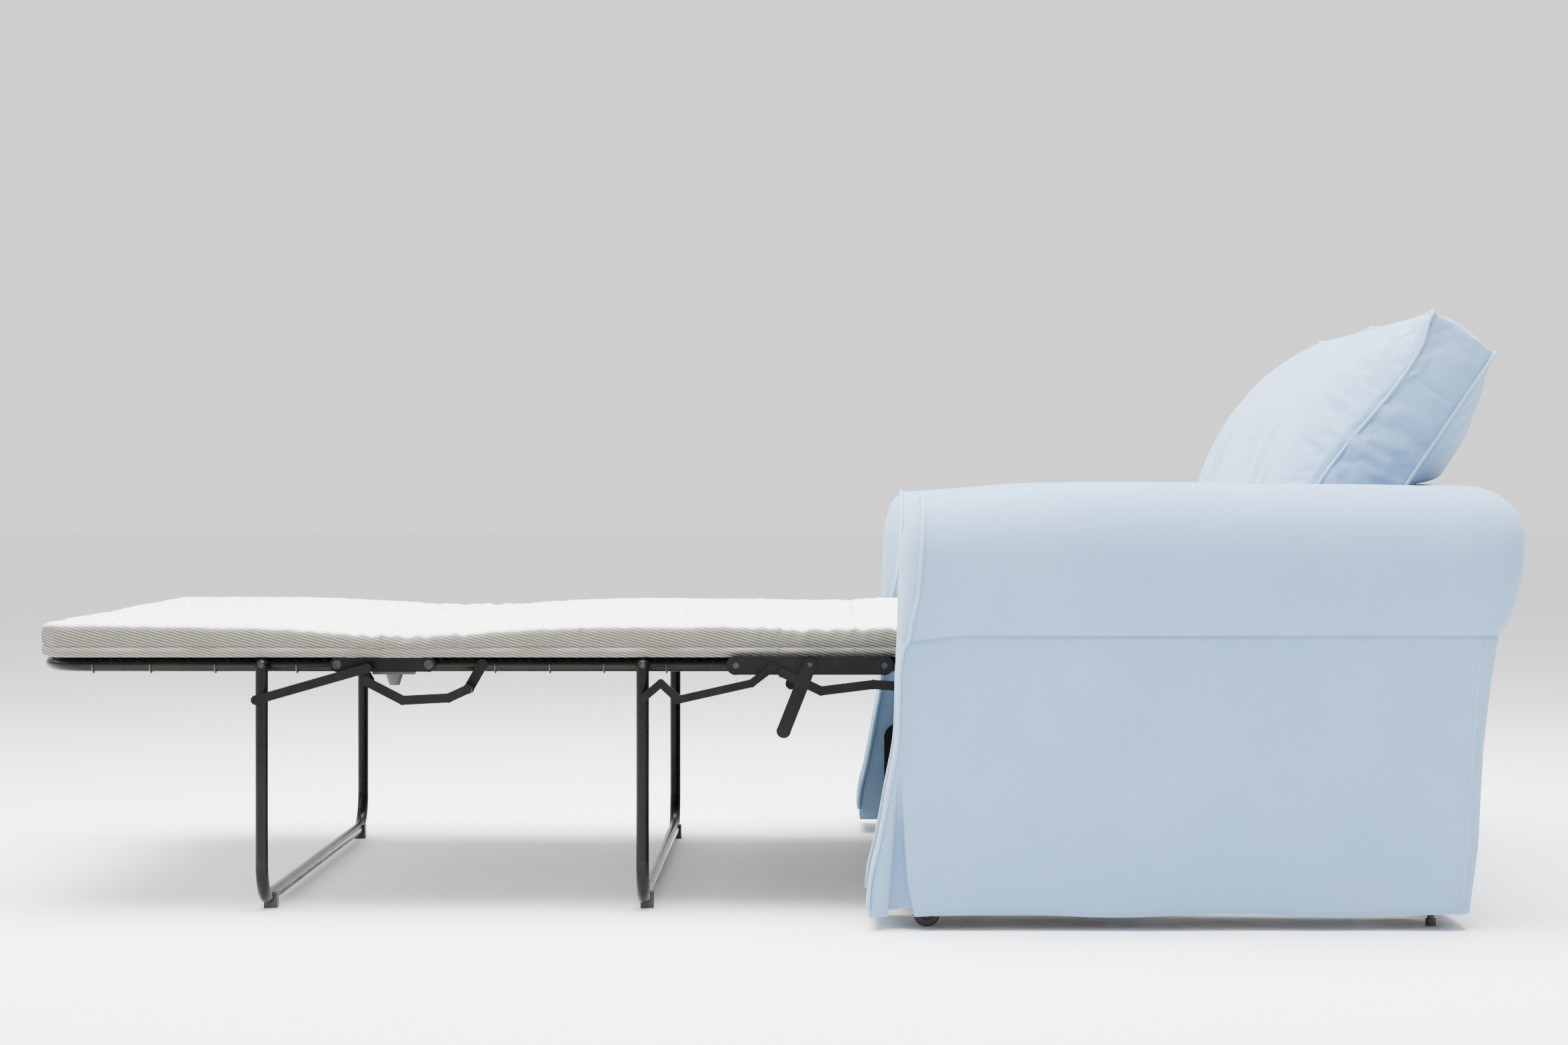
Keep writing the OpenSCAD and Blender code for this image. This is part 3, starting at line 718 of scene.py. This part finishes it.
def back_cushion(side_name, body, side):
    node_name = "back_cushion_" + side_name
    tilt = pivot("cushion_" + side_name + "_tilt")
    low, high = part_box(node_name)
    foot = Vector((0.5 * (low.x + high.x), tilt.y, tilt.z))
    half_w = 0.5 * (high.x - low.x) - 0.003
    piece = cushion_start(half_w)
    fill_cushion(piece, half_w, 3.0 + side)
    piece.name = "cushion_" + side_name + "_pad"
    outer = SEAT_HALF - abs(foot.x)
    for v in piece.data.vertices:
        x, h, t = v.co
        t = min(max(t, -rear_room(h)), CUSHION_T + FRONT_REACH)
        inner_limit = abs(foot.x) - 0.0006
        outer_limit = outer - 0.002 + 0.010 * smooth_step(h, 0.30, 0.40)
        towards = min(max(x * side, -inner_limit), outer_limit)
        v.co = cushion_place(foot, towards * side, max(h, 0.0006), t)
    data = piece.data
    data.materials.clear()
    data.materials.append(SLIPCOVER)
    data.polygons.foreach_set("use_smooth", [True] * len(data.polygons))
    subdivide(piece)
    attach(piece, body)
    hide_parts(node_name)
    for t, label in ((CUSHION_T, "front"), (0.0, "rear")):
        path = []
        for x, h in boxed_outline(half_w):
            out = t - seam_bow(x, h, half_w) + 0.0006 if t else -0.0006
            path.append(cushion_place(foot, 1.003 * x, h, out))
        name = f"cushion_{side_name}_{label}_piping"
        cord = cord_tube(name, path, PIPING_R, PIPING, closed=True)
        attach(cord, body)


# ---------------------------------------------------------------- sofa slipcover

def lerp_profile(points, at):
    """Value of a profile of (at, value) pairs joined by straight lines."""
    if at <= points[0][0]:
        return points[0][1]
    for (a0, v0), (a1, v1) in zip(points, points[1:]):
        if at <= a1:
            return v0 + (v1 - v0) * (at - a0) / (a1 - a0)
    return points[-1][1]


# Heights and distances back of the arm's front piping
FRONT_EDGE = [(0.026, 0.172), (0.050, 0.172), (0.080, 0.1747), (0.102, 0.1788), (0.124, 0.1854),
              (0.162, 0.1933), (0.191, 0.1989), (0.223, 0.2044), (0.251, 0.2100), (0.276, 0.2150),
              (0.307, 0.2203), (0.36, 0.2225), (0.42, 0.2233), (0.455, 0.2280), (0.483, 0.2373),
              (0.511, 0.2446), (0.553, 0.2535), (0.595, 0.2570), (0.637, 0.2597), (0.680, 0.2620),
              (0.710, 0.2630), (0.740, 0.2640)]
# Heights, and how far the front panel stands out past its piping
FRONT_BULGE = [(0.026, 0.0), (0.30, 0.004), (0.42, 0.007), (0.455, 0.011), (0.483, 0.0185),
               (0.511, 0.025), (0.553, 0.033), (0.637, 0.036), (0.680, 0.033), (0.74, 0.022)]
# The kick pleat: heights, then the edge of the front return and the edge of the side panel
PLEAT_RETURN = [(0.026, 0.2022), (0.080, 0.2068), (0.27, 0.2195), (0.35, 0.232)]
PLEAT_SIDE = [(0.026, 0.247), (0.078, 0.236), (0.27, 0.2225), (0.35, 0.240)]
SEAM_Z = 0.484
HEM_Z = ARM_LOW.z
ROLL_R = 0.119
ROLL_Z = ARM_HIGH.z - ROLL_R
BACK_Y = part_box("cushion_shelf")[1].y + 0.001
PANEL_D = 0.207
# Highest point of the side panels, just under the seam
PANEL_TOP = 0.476
# Thickness left between the cover and the sofa's inner faces
INNER_GAP = 0.0015
# Points of a section: up the inside, over the roll in two parts, under the roll, down the panel
INNER_STEPS = 26
ROLL_IN_STEPS = 16
ROLL_OUT_STEPS = 18
PANEL_STEPS = 44
# Undersides of the rolls, from the roll in to the seam
ARM_UNDER = [(0.2375, 0.596), (0.2365, 0.582), (0.2345, 0.568), (0.2315, 0.554), (0.2280, 0.541),
             (0.2238, 0.528), (0.2195, 0.516), (0.2155, 0.506), (0.2120, 0.498), (0.2095, 0.492),
             (0.2075, 0.4875), (0.2045, SEAM_Z), (0.2070, 0.4805)]
BACK_UNDER = [(0.1905, 0.631), (0.1895, 0.613), (0.1880, 0.596), (0.1858, 0.580), (0.1825, 0.563),
              (0.1785, 0.547), (0.1735, 0.531), (0.1680, 0.517), (0.1620, 0.504), (0.1570, 0.495),
              (0.1520, 0.488), (0.1475, SEAM_Z), (0.1480, 0.480)]
# Heights, and how far out the back's lower panel is
BACK_PANEL = [(0.026, 0.0985), (0.15, 0.1145), (0.30, 0.1235), (0.40, 0.135), (0.470, 0.1455),
              (0.480, 0.1475)]


def panel_heights():
    """Heights of the points down a side panel, from under the seam to the hem."""
    drop = PANEL_TOP - HEM_Z
    return [PANEL_TOP - drop * (i / PANEL_STEPS) for i in range(PANEL_STEPS + 1)]


def arm_profile():
    """Section of an arm's cover from its inner hem over the roll to its outer hem: (out, up) points."""
    points = []
    for i in range(INNER_STEPS + 1):
        points.append((INNER_GAP, HEM_Z + (ROLL_Z - HEM_Z) * i / INNER_STEPS))
    for i in range(1, ROLL_IN_STEPS + 1):
        angle = math.pi * (1 - 0.5 * i / ROLL_IN_STEPS)
        out = ROLL_R + (ROLL_R - INNER_GAP) * math.cos(angle)
        points.append((out, ROLL_Z + ROLL_R * math.sin(angle)))
    for i in range(1, ROLL_OUT_STEPS + 1):
        angle = math.pi * (0.5 - 0.5 * i / ROLL_OUT_STEPS)
        points.append((ROLL_R + ROLL_R * math.cos(angle), ROLL_Z + ROLL_R * math.sin(angle)))
    return points + ARM_UNDER + [(PANEL_D, z) for z in panel_heights()]


def back_profile():
    """Section of the back's cover, point for point beside the arm's."""
    high = BACK_HIGH.z
    thick = BACK_HIGH.y - BACK_Y
    inner_r = 0.060
    outer_r = 0.082
    top = high - inner_r
    flat_steps = 4
    round_steps = ROLL_OUT_STEPS - flat_steps
    points = []
    for i in range(INNER_STEPS + 1):
        points.append((INNER_GAP, HEM_Z + (top - HEM_Z) * i / INNER_STEPS))
    for i in range(1, ROLL_IN_STEPS + 1):
        angle = math.pi * (1 - 0.5 * i / ROLL_IN_STEPS)
        out = inner_r + (inner_r - INNER_GAP) * math.cos(angle)
        points.append((out, top + inner_r * math.sin(angle)))
    flat = thick - outer_r - inner_r
    for i in range(1, flat_steps + 1):
        up = high + 0.001 * math.sin(math.pi * i / flat_steps)
        points.append((inner_r + flat * i / flat_steps, up))
    for i in range(1, round_steps + 1):
        angle = math.pi * (0.5 - 0.5 * i / round_steps)
        out = thick - outer_r + outer_r * math.cos(angle)
        points.append((out, high - outer_r + outer_r * math.sin(angle)))
    return points + BACK_UNDER + [(lerp_profile(BACK_PANEL, z), z) for z in panel_heights()]


ARM_PROFILE = arm_profile()
BACK_PROFILE = back_profile()
# Numbers of two points of a section: at the top of the roll, and the last above the seam
ROLL_TOP = INNER_STEPS + ROLL_IN_STEPS
ABOVE_SEAM = ROLL_TOP + ROLL_OUT_STEPS + len(ARM_UNDER) - 2
# Stations along the arm's front, the arm, its rear corner and half of the back
FRONT_STATIONS = 12
ARM_STATIONS = 86
CORNER_STATIONS = 10
BACK_STATIONS = 56


def profile_normal(profile, k):
    """Direction out of the cloth at a point of a section."""
    before = Vector(profile[max(k - 1, 0)])
    after = Vector(profile[min(k + 1, len(profile) - 1)])
    along = (after - before).normalized()
    return Vector((-along.y, along.x)) if along.length else Vector((1, 0))


def front_station_ys(z):
    """Places of the first stations, gathered into the kick pleat where there is one."""
    edge = lerp_profile(FRONT_EDGE, z)
    even = [edge + 0.060 * (j / FRONT_STATIONS) ** 1.15 for j in range(FRONT_STATIONS + 1)]
    fold = max(lerp_profile(PLEAT_RETURN, z), edge + 0.006)
    side = max(lerp_profile(PLEAT_SIDE, z), fold + 0.008)
    pleat = [edge, edge + 0.25 * (fold - edge), edge + 0.6 * (fold - edge)]
    pleat += [fold - 0.0022, fold, fold + 0.0016, 0.5 * (fold + side)]
    pleat += [side - 0.0030, side - 0.0012, side, side + 0.004, side + 0.012, side + 0.026]
    share = smooth_step(z, 0.325, 0.24)
    return [a + (b - a) * share for a, b in zip(even, pleat)]


# How far in from the side panel each of those stations lies inside the pleat
PLEAT_DEPTH = [0.0, -0.0005, 0.0015, 0.0035, 0.009, 0.022, 0.025, 0.023, 0.012, 0.0, -0.0015, -0.0010, 0.0]


# Below this height the cloth is never drawn in, so that the hollow inside doesn't cut it
HEM_ZONE = 0.14
# How far the hem may dip, so that it clears the floor
HEM_DIP = 0.004


def cover_soft(side, y, z):
    """Gentle unevenness of the cloth, standing out from the section."""
    amount = lump((side, y, z), 2.6, 0.0034, 4.0) + lump((side * 2, y, z), 9.0, 0.0009, 6.0)
    if z < SEAM_Z + 0.02:
        wave = 0.0022 * math.sin(y * 23 + lump((side, y, 0.3), 3.0, 2.2))
        amount += wave * smooth_step(0.30 - z, 0.0, 0.27)
    if z < HEM_ZONE:
        amount = max(amount, 0.0) + 0.001
    near_seam = bell(z, SEAM_Z, 0.028)
    amount += 0.0010 * near_seam * math.sin(y * 120 + lump((side, y, 0), 7.0, 3.0))
    return amount


def arm_row(side, k):
    """One line of the cover from an arm's front, round the corner, to the middle of the back."""
    d_arm, z_arm = ARM_PROFILE[k]
    d_back, z_back = BACK_PROFILE[k]
    n_arm = profile_normal(ARM_PROFILE, k)
    n_back = profile_normal(BACK_PROFILE, k)
    outside = k > ROLL_TOP
    below = k >= ABOVE_SEAM
    radius = 0.010
    if outside:
        radius = 0.062 - 0.030 * smooth_step(SEAM_Z + 0.06 - z_arm, 0.0, 0.06)
    corner = Vector((SEAT_HALF + d_arm, BACK_Y + d_back))
    last = corner.y - radius
    ys = front_station_ys(z_arm)
    rest = ARM_STATIONS - FRONT_STATIONS
    ys += [ys[-1] + (last - ys[-1]) * (j / rest) for j in range(1, rest + 1)]
    row = []
    crown = smooth_step(z_arm, 0.50, 0.73)
    hem = smooth_step(0.10 - z_arm, 0.0, 0.07)
    for j, y in enumerate(ys):
        drop = 0.017 * crown * (1 - smooth_step(y, 0.24, 0.62)) ** 1.5
        z = z_arm - drop
        z += 0.0035 * crown * math.sin((y - 0.2) * 3.2)
        if 0.47 < z_arm < 0.50:
            z -= 0.009 * (1 - smooth_step(y, 0.23, 0.34))
        offset = cover_soft(side, y, z_arm) * (1.0 if outside else 0.3)
        offset *= smooth_step(y - ys[0], 0.0, 0.03)
        if outside:
            offset += 0.002 * smooth_step(y, 0.30, 0.55) * smooth_step(0.95 - y, 0.0, 0.3)
        x = SEAT_HALF + d_arm + n_arm.x * offset
        z += n_arm.y * offset
        if below and j <= FRONT_STATIONS:
            x -= PLEAT_DEPTH[j] * smooth_step(0.285 - z_arm, 0.0, 0.185)
            if 5 <= j <= 7:
                z += 0.012 * hem
        if not outside:
            x = max(x, SEAT_HALF + 0.0008)
        z += 0.0030 * hem * math.sin(y * 17 + 1.3 * side) * (0.35 if not outside else 1.0)
        if hem and outside and y > 1.0:
            x += 0.004 * hem * smooth_step(y, 1.0, 1.15)
        row.append(Vector((side * x, y, max(z, HEM_Z - HEM_DIP))))
    for j in range(1, CORNER_STATIONS + 1):
        t = j / (CORNER_STATIONS + 1)
        a = Vector((corner.x, last))
        b = Vector((corner.x - radius, corner.y))
        p = a * (1 - t) ** 2 + corner * 2 * t * (1 - t) + b * t * t
        z = z_arm + (z_back - z_arm) * t
        offset = cover_soft(side, p.y, z_arm) * (1 - t) + cover_soft(0, side * p.x, z_arm) * t
        offset = 0.7 * offset if outside else 0.0
        z += 0.003 * hem * math.sin(p.y * 17)
        row.append(Vector((side * (p.x + offset), p.y + offset, z)))
    start = corner.x - radius
    for j in range(BACK_STATIONS + 1):
        x = start * (1 - j / BACK_STATIONS)
        offset = cover_soft(0, side * x, z_arm) * (1.0 if outside else 0.2)
        y = BACK_Y + d_back + n_back.x * offset
        if not outside:
            y = max(y, BACK_Y + 0.0008)
        z = z_back + n_back.y * offset * (1.0 if outside else 0.0)
        z += 0.003 * hem * math.sin(x * 15) * (1.0 if outside else 0.3)
        row.append(Vector((side * x, y, max(z, HEM_Z - HEM_DIP))))
    return row


def front_panel_rings(mesh, side, edge):
    """The padded front of an arm, from its piping inwards, as rings of vertices."""
    rings = 7
    spine_d = 0.5 * PANEL_D + 0.008
    # Both edges meet on the same points of the spine
    spine_step = (ROLL_Z - HEM_Z) / INNER_STEPS
    loops = [edge]
    for r in range(1, rings + 1):
        t = r / rings
        loop = []
        for v in edge:
            up = (min(max(v.co.z, HEM_Z), ROLL_Z) - HEM_Z) / spine_step
            spine = Vector((side * (SEAT_HALF + spine_d), 0, HEM_Z + round(up) * spine_step))
            x = v.co.x + (spine.x - v.co.x) * t
            height = v.co.z + (spine.z - v.co.z) * t
            rise = math.sqrt(1 - (1 - t) ** 2)
            base = lerp_profile(FRONT_EDGE, height)
            y = base - lerp_profile(FRONT_BULGE, height) * rise
            y += lump((x, 0, height), 12.0, 0.0015, 8.0) * t
            pucker = bell(height, ROLL_Z + 0.085, 0.03) * bell(t, 0.25, 0.25)
            y += 0.0025 * pucker * math.sin(x * 210)
            loop.append((x, y, height))
        loops.append([mesh.verts.new(p) for p in loop])
    return loops


def cut_boxes(piece, boxes):
    """Takes boxes out of a closed piece: first one cutter from them all, then one cut."""
    made = []
    for low, high in boxes:
        bpy.ops.mesh.primitive_cube_add(size=1)
        box = bpy.context.object
        box.scale = [h - l for l, h in zip(low, high)]
        box.location = [0.5 * (l + h) for l, h in zip(low, high)]
        bpy.ops.object.transform_apply(location=True, scale=True)
        made.append(box)
    cutter = made[0]
    for other in made[1:]:
        mod = cutter.modifiers.new("join", "BOOLEAN")
        mod.operation = "UNION"
        mod.solver = "EXACT"
        mod.object = other
        apply_modifiers(cutter)
    mod = piece.modifiers.new("cut", "BOOLEAN")
    mod.operation = "DIFFERENCE"
    mod.solver = "EXACT"
    mod.object = cutter
    apply_modifiers(piece)
    for box in made:
        bpy.data.objects.remove(box, do_unlink=True)


def cover_hollows():
    """Opposite corners of the boxes hollowed out inside the cover: in the back and in each arm."""
    low = HEM_Z - 0.05
    boxes = [((-0.693, 1.092, low), (0.693, 1.1615, 0.690))]
    boxes.append(((-0.902, 1.092, low), (0.902, 1.145, 0.101)))
    for side in (1, -1):
        spans = [((0.739, 0.278, low), (0.902, 1.135, 0.645))]
        spans.append(((0.700, 0.224, low), (0.902, 1.142, 0.104)))
        spans.append(((0.700, 0.262, low), (0.762, 1.051, 0.2986)))
        spans.append(((0.739, 0.262, low), (0.792, 1.051, 0.600)))
        for a, b in spans:
            xs = sorted((side * a[0], side * b[0]))
            boxes.append(((xs[0], a[1], a[2]), (xs[1], b[1], b[2])))
    return boxes


# Radius of the piping round an arm's front, and of the stitched seam at a rear corner
FRONT_CORD_R = 0.0036
REAR_CORD_R = 0.0011
# Past this far out an arm's piping hangs straight down from the seam
PANEL_SIDE_X = 0.925
# Where a rear corner's seam is at the hem, and how much further back at the foot of the roll
REAR_SEAM_Y = 1.144
REAR_SEAM_SHIFT = 0.033


def seam_cord(name, points, radius):
    cord = cord_tube(name, resample(points, 0.008), radius, PIPING)
    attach(cord, "sofa")


def front_piping_path(rows, side, j):
    """Path just outside the cover along the front edge of an arm."""
    path = []
    for k, row in enumerate(rows):
        p = row[j].copy()
        n = profile_normal(ARM_PROFILE, k)
        p += Vector((side * n.x * 0.0012, -0.0022, n.y * 0.0012))
        if k > ABOVE_SEAM and side * p.x > PANEL_SIDE_X:
            p.x = side * (SEAT_HALF + PANEL_D + 0.001)
        path.append(p)
    return path[1:-1]


def rear_seam_path(rows, side):
    """Path on the cover down a rear corner, from the seam to the hem."""
    path = []
    for row in rows[ABOVE_SEAM + 1:-1]:
        along = row if side > 0 else row[::-1]
        at = REAR_SEAM_Y + REAR_SEAM_SHIFT * (along[0].z - HEM_Z) / (SEAM_Z - HEM_Z)
        after = next(i for i, p in enumerate(along) if p.y > at)
        a, b = along[after - 1], along[after]
        path.append(a.lerp(b, (at - a.y) / (b.y - a.y)))
    return path


def sofa_cover():
    """The slipcover over both arms and the back, sewn as one piece, and its cords."""
    rows = []
    for k in range(len(ARM_PROFILE)):
        right = arm_row(1, k)
        left = arm_row(-1, k)
        rows.append(right + list(reversed(left[:-1])))
    width = len(rows[0])
    mesh = bmesh.new()
    grid = [[mesh.verts.new(p) for p in row] for row in rows]
    for k in range(len(rows) - 1):
        for j in range(width - 1):
            mesh.faces.new((grid[k][j], grid[k][j + 1], grid[k + 1][j + 1], grid[k + 1][j]))
    for side, j in ((1, 0), (-1, width - 1)):
        edge = [grid[k][j] for k in range(len(rows))]
        loops = front_panel_rings(mesh, side, edge)
        for outer, inner in zip(loops, loops[1:]):
            for k in range(len(edge) - 1):
                mesh.faces.new((outer[k], outer[k + 1], inner[k + 1], inner[k]))
    bmesh.ops.remove_doubles(mesh, verts=mesh.verts, dist=0.0003)
    bmesh.ops.holes_fill(mesh, edges=[e for e in mesh.edges if e.is_boundary], sides=0)
    bmesh.ops.recalc_face_normals(mesh, faces=mesh.faces)
    data = bpy.data.meshes.new("sofa_slipcover")
    mesh.to_mesh(data)
    mesh.free()
    data.materials.append(SLIPCOVER)
    piece = bpy.data.objects.new("sofa_slipcover", data)
    bpy.context.scene.collection.objects.link(piece)
    cut_boxes(piece, cover_hollows())
    for face in piece.data.polygons:
        face.use_smooth = len(face.vertices) == 4 and face.area < 0.0006
    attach(piece, "sofa")
    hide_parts("arm_cover_left", "arm_cover_right", "back_cover")
    for side, j, label in ((1, 0, "right"), (-1, width - 1, "left")):
        seam_cord("arm_front_piping_" + label, front_piping_path(rows, side, j), FRONT_CORD_R)
        seam_cord("rear_corner_seam_" + label, rear_seam_path(rows, side), REAR_CORD_R)


# ---------------------------------------------------------------- floor, light and camera

# The photograph's view, from the sofa's right side
CAMERA_FROM = Vector((6.87, 0.0985, 0.7465))
CAMERA_LENS = 83.1
CAMERA_SHIFT = (-0.0259, -0.0293)
WORLD_STRENGTH = 1.35
OVERHEAD_POWER = 1500
FRONT_POWER = 140
FLOOR_HALF = 40


def add_light(name, location, target, size, power):
    data = bpy.data.lights.new(name, "AREA")
    data.shape = "RECTANGLE"
    data.size, data.size_y = size
    data.energy = power
    light = bpy.data.objects.new(name, data)
    light.location = location
    light.rotation_euler = (Vector(target) - Vector(location)).to_track_quat("-Z", "Y").to_euler()
    bpy.context.scene.collection.objects.link(light)


def studio():
    """A wide floor under a white sky, with a soft light overhead and a weaker one in front."""
    half = FLOOR_HALF
    corners = [(-half, -half, 0), (half, -half, 0), (half, half, 0), (-half, half, 0)]
    floor = mesh_object("floor", corners, [(0, 1, 2, 3)], floor_material(), smooth=False)
    world = bpy.data.worlds.new("world")
    bpy.context.scene.world = world
    world.use_nodes = True
    sky = world.node_tree.nodes["Background"].inputs
    sky["Color"].default_value = (1.0, 1.0, 1.0, 1)
    sky["Strength"].default_value = WORLD_STRENGTH
    add_light("overhead", (0.2, 0.1, 4.0), (0, 0.2, 0.4), (4.5, 4.5), OVERHEAD_POWER)
    add_light("front", (1.0, -4.5, 2.6), (0, 0.2, 0.5), (3.5, 2.5), FRONT_POWER)


def camera():
    data = bpy.data.cameras.new("camera")
    data.lens = CAMERA_LENS
    data.sensor_width = 36
    data.shift_x, data.shift_y = CAMERA_SHIFT
    data.clip_end = 100
    made = bpy.data.objects.new("camera", data)
    made.location = CAMERA_FROM
    made.rotation_euler = (math.radians(90), 0, math.radians(90))
    bpy.context.scene.collection.objects.link(made)
    bpy.context.scene.camera = made


paint_cad_nodes()
mattress()
back_cushion("left", "cushion_left", -1)
back_cushion("right", "cushion_right", 1)
sofa_cover()
studio()
camera()
